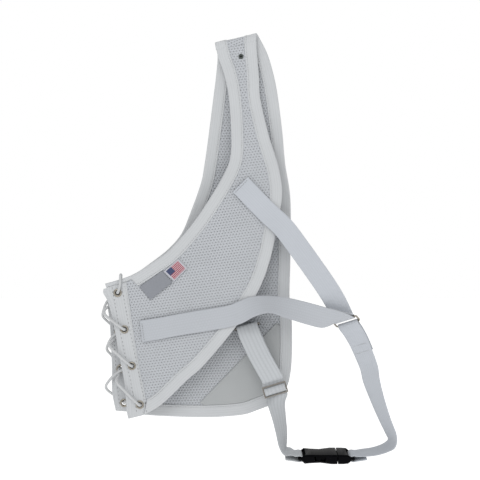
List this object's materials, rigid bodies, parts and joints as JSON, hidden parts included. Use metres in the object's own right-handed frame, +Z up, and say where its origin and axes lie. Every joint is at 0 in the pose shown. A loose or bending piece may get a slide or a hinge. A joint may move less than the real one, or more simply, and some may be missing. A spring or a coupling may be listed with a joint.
{
  "type": "chest protector",
  "caption": "One-shoulder chest guard of white perforated cloth with taped edges, a laced side, and webbing straps that meet at a wire ring and close with a side-release buckle.",
  "frame": {"origin": "on the axis of the small hang eyelet below the shoulder fold, midway between the two layers", "axes": "+X to the right as seen from the front, +Y away from the viewer, +Z up"},
  "size_m": [0.3474, 0.0493, 0.5072],
  "materials": {
    "mesh_cloth": "matt white perforated knit",
    "tape": "matt white woven tape",
    "lace": "matt white braid",
    "plain_cloth": "matt white plain knit",
    "grey_satin": "grey satin",
    "striped_label": "woven label in white, red and blue",
    "webbing": "matt white ribbed webbing",
    "silver": "bright nickel",
    "dark_wire": "dull wire",
    "black_plastic": "glossy black"
  },
  "bodies": {
    "root": {"front_mesh": "mesh_cloth", "back_mesh": "mesh_cloth", "front_armhole_binding": "tape", "front_neck_binding": "tape", "back_armhole_binding": "tape", "back_edge_binding": "tape", "front_placket": "tape", "back_placket": "tape", "side_lace": "lace", "side_label": "grey_satin", "flag_label": "striped_label", "corner_patch": "plain_cloth", "upper_strap": "webbing", "waist_strap": "webbing", "right_strap": "webbing", "left_strap": "webbing", "anchor_tab": "webbing", "junction_ring": "silver", "anchor_ring": "dark_wire", "strap_slide": "dark_wire", "buckle_socket": "black_plastic", "buckle_plug": "black_plastic", "hang_eyelet": "dark_wire", "eyelet_front_1": "silver", "eyelet_back_1": "silver", "eyelet_front_2": "silver", "eyelet_back_2": "silver", "eyelet_front_3": "silver", "eyelet_back_3": "silver", "eyelet_front_4": "silver", "eyelet_back_4": "silver"}
  },
  "joints": []
}
